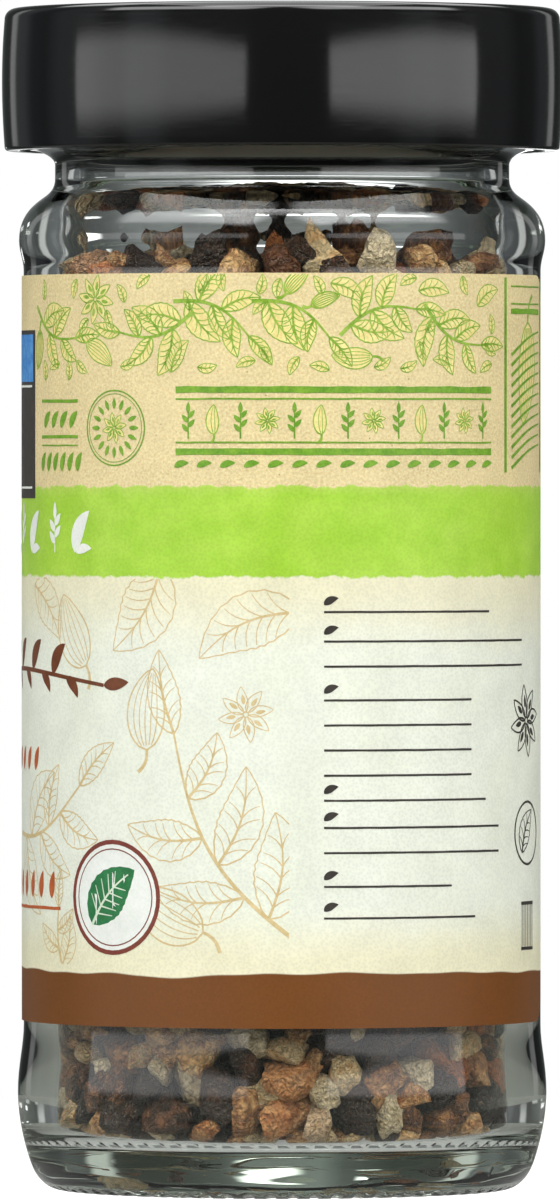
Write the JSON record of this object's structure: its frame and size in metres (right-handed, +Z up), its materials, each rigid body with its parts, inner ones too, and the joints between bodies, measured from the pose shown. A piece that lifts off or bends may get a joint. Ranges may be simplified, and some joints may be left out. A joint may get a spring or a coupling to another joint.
{
  "type": "spice jar of cardamom seeds",
  "caption": "Round clear glass spice jar with a smooth black screw cap and a wrapped paper label, filled with whole cardamom seeds.",
  "frame": {"origin": "centre of the foot, on the surface the jar stands on", "axes": "+Z up along the jar's axis, -Y towards the front of the label, +X to the viewer's right"},
  "size_m": [0.0522, 0.0522, 0.11],
  "materials": {
    "clear_glass": "polished clear",
    "black_cap": "glossy black",
    "liner_board": "matte white",
    "label_paper": "lightly coated print",
    "seed_skin": "dry and wrinkled"
  },
  "bodies": {
    "jar": {"jar_glass": "clear_glass", "label": "label_paper", "seeds": "seed_skin"},
    "liner": {"cap_liner": "liner_board"},
    "cap": {"screw_cap": "black_cap"}
  },
  "joints": [
    {"name": "cap_rise", "type": "slide", "parent": "jar", "child": "liner", "axis": [0, 0, 1], "range_m": [0, 0.0042]},
    {"name": "cap_turn", "type": "hinge", "parent": "liner", "child": "cap", "pos_m": [0, 0, 0.1], "axis": [0, 0, 1], "range_deg": [0, 360]}
  ],
  "couplings": [
    {"joint": "cap_rise", "follows": "cap_turn", "m_per_rad": 0.00066845}
  ]
}
